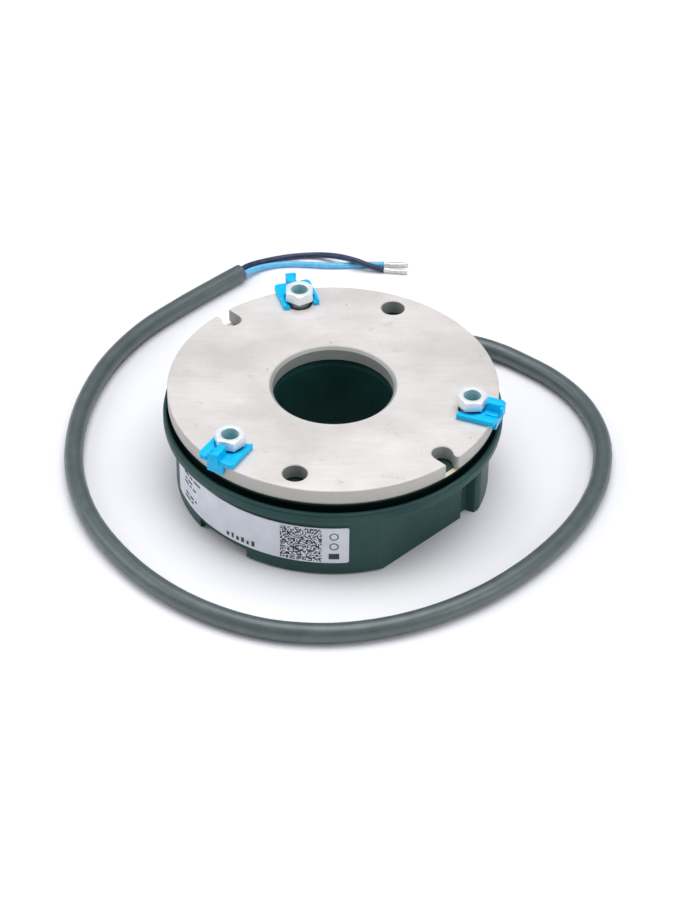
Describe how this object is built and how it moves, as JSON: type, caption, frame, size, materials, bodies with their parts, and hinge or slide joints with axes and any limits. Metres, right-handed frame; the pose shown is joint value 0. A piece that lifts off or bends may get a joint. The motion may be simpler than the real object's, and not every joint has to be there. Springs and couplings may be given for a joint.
{
  "type": "spring-applied electromagnetic brake",
  "caption": "Round electromagnetic brake unit: green magnet housing, steel armature plate on hollow hexagonal spacer bolts, blue transport clips and a sheathed two-core lead.",
  "frame": {"origin": "on the axis of the unit, in the plane of the back face it stands on", "axes": "+Z along the axis towards the armature plate; -Y is the front, with the label at the front left; +X right"},
  "size_m": [0.1433, 0.1634, 0.0331],
  "materials": {
    "green_paint": "semi-gloss dark green enamel on a cast body",
    "ground_steel": "ground flat, fine straight grain, a few scuffs",
    "zinc": "bright zinc plate",
    "blue_plastic": "moulded bright blue plastic, semi-gloss",
    "label_foil": "silver-grey printed foil, satin",
    "bobbin_plastic": "black glass-filled plastic",
    "copper": "enamelled copper wire",
    "resin": "black casting resin",
    "spring_steel": "drawn spring wire",
    "rubber": "black rubber",
    "sheath": "matt dark grey-green PVC",
    "blue_insulation": "light blue PVC insulation",
    "dark_insulation": "blue-black PVC insulation",
    "tinned_copper": "tinned, crimped"
  },
  "bodies": {
    "stator": {"magnet_housing": "green_paint", "coil_bobbin": "bobbin_plastic", "coil_winding": "copper", "potting_ring": "resin", "pressure_spring_1": "spring_steel", "pressure_spring_2": "spring_steel", "pressure_spring_3": "spring_steel", "pressure_spring_4": "spring_steel", "pressure_spring_5": "spring_steel", "pressure_spring_6": "spring_steel", "spacer_bolt_right": "zinc", "spacer_bolt_rear": "zinc", "spacer_bolt_left": "zinc", "rating_label": "label_foil", "cable_grommet": "rubber", "inner_core_blue": "blue_insulation", "inner_core_dark": "dark_insulation", "cable_jacket": "sheath", "wire_blue": "blue_insulation", "wire_dark": "dark_insulation", "ferrule_blue": "tinned_copper", "ferrule_dark": "tinned_copper"},
    "armature": {"armature_plate": "ground_steel"},
    "clip_right": {"transport_clip_right": "blue_plastic"},
    "clip_rear": {"transport_clip_rear": "blue_plastic"},
    "clip_left": {"transport_clip_left": "blue_plastic"}
  },
  "joints": [
    {"name": "armature_stroke", "type": "slide", "parent": "stator", "child": "armature", "axis": [0, 0, 1], "range_m": [0, 0.0002], "deforming": ["pressure_spring_1", "pressure_spring_2", "pressure_spring_3", "pressure_spring_4", "pressure_spring_5", "pressure_spring_6"]},
    {"name": "clip_right_pull", "type": "slide", "parent": "stator", "child": "clip_right", "axis": [0.9336, -0.3584, 0], "range_m": [0, 0.015]},
    {"name": "clip_rear_pull", "type": "slide", "parent": "stator", "child": "clip_rear", "axis": [-0.3007, 0.9537, 0], "range_m": [0, 0.015]},
    {"name": "clip_left_pull", "type": "slide", "parent": "stator", "child": "clip_left", "axis": [-0.5, -0.866, 0], "range_m": [0, 0.015]}
  ]
}
